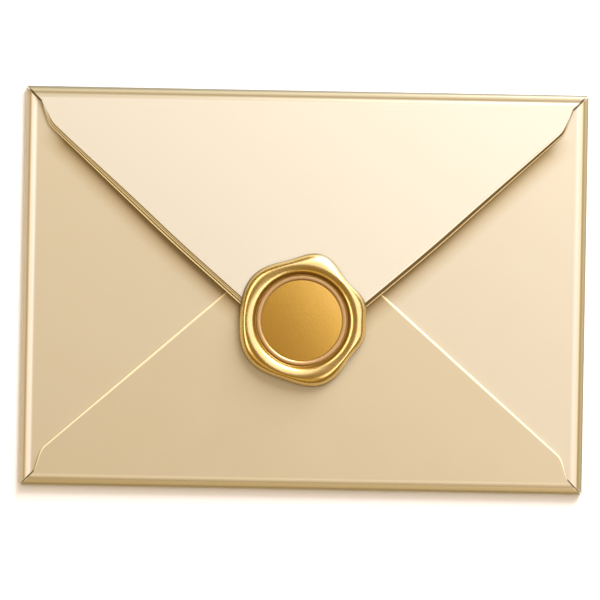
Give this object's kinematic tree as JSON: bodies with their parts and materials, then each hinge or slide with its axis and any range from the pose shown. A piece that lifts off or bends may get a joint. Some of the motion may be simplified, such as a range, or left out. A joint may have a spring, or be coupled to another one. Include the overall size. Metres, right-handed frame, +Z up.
{
  "type": "paper envelope",
  "caption": "Closed landscape envelope folded from one sheet of thick pearl card, its pointed top flap held down by a round wax seal with a plain stamped disc.",
  "frame": {"origin": "under the middle of the front panel, on the surface that the envelope lies on", "axes": "+X along the long side, +Y towards the fold of the top flap, +Z up, out of the flap side"},
  "size_m": [0.162, 0.115, 0.0063],
  "materials": {
    "pearl_card": "pearlescent coated card, satin sheen",
    "gum": "thin dried gum film",
    "gold_wax": "metallic gold sealing wax, glossy with a satin stamped disc"
  },
  "bodies": {
    "root": {"envelope_sheet": "pearl_card", "left_seam_gum": "gum", "right_seam_gum": "gum", "wax_seal": "gold_wax"}
  },
  "joints": []
}
